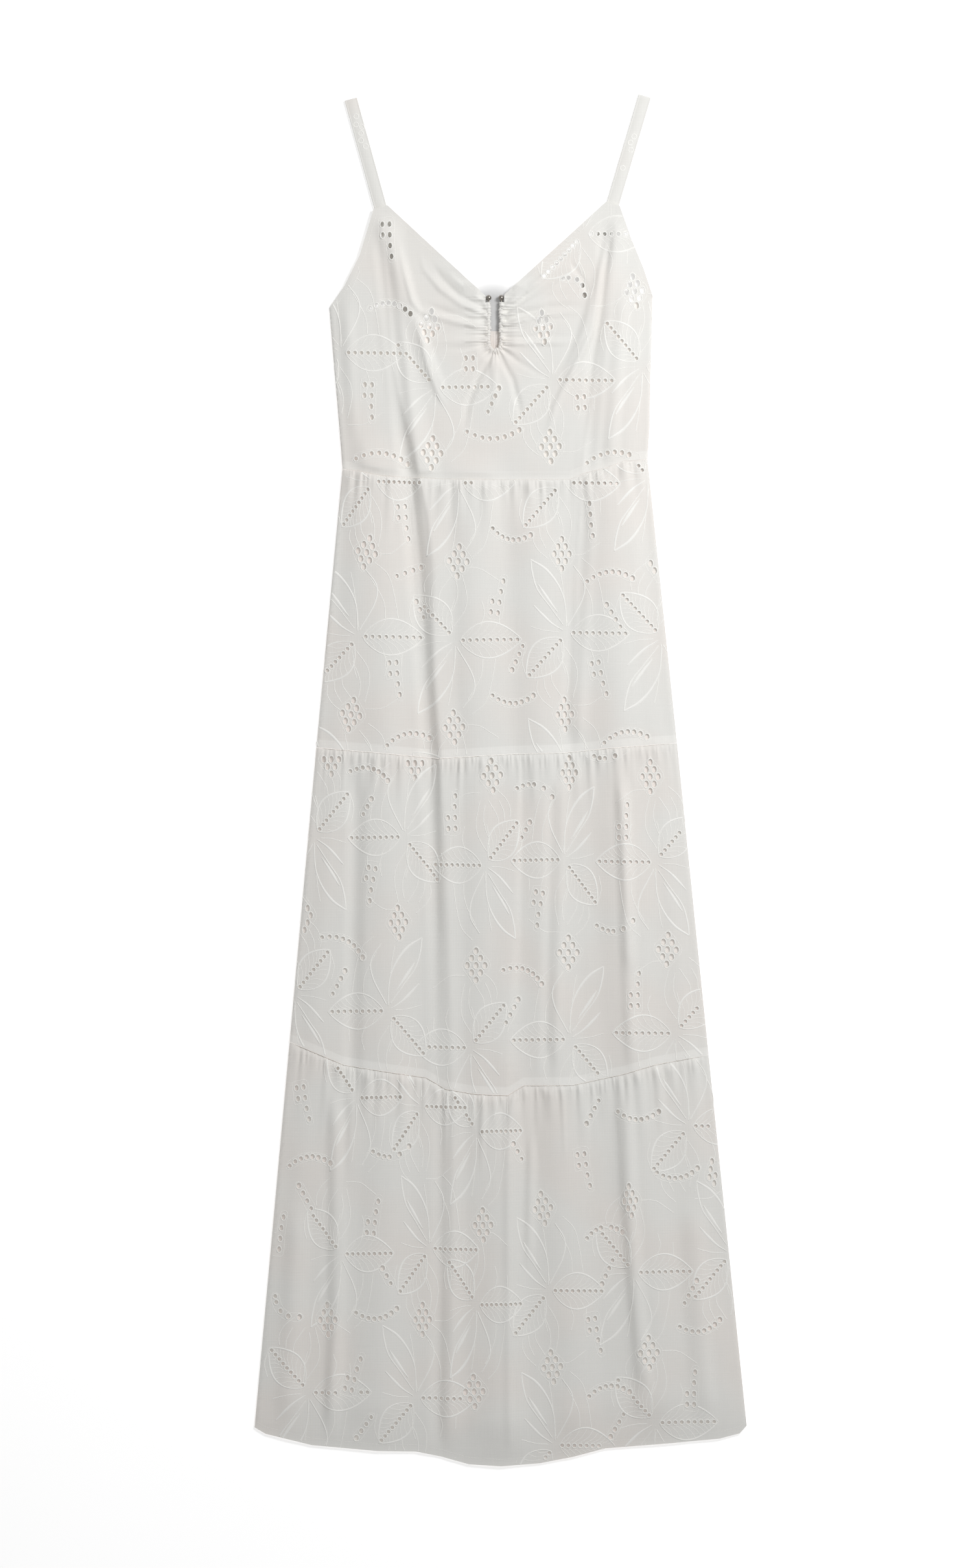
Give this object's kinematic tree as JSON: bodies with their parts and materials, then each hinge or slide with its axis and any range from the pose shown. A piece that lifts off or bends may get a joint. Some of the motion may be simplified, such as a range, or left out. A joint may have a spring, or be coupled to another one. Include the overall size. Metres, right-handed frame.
{
  "type": "embroidered maxi dress",
  "caption": "Sleeveless white cotton maxi dress with thin straps, a keyhole V-neck, gathered tiers and cutwork embroidery, laid flat with its front up.",
  "frame": {"origin": "middle of the dress's outline in plan, on the surface that it lies on", "axes": "+X across the dress towards the wearer's left side, +Y up the dress from the hem to the straps, +Z out of the surface, towards the viewer of the front"},
  "size_m": [0.502, 1.4001, 0.0173],
  "materials": {
    "cotton": "off-white cotton voile, matt, with white satin-stitch embroidery",
    "wire": "polished silver-coloured metal"
  },
  "bodies": {
    "root": {"front_bodice": "cotton", "back_bodice": "cotton", "keyhole_casing": "cotton", "keyhole_wire": "wire", "strap_left": "cotton", "strap_right": "cotton", "tier_1_front": "cotton", "tier_1_back": "cotton", "tier_2_front": "cotton", "tier_2_back": "cotton", "tier_3_front": "cotton", "tier_3_back": "cotton"}
  },
  "joints": []
}
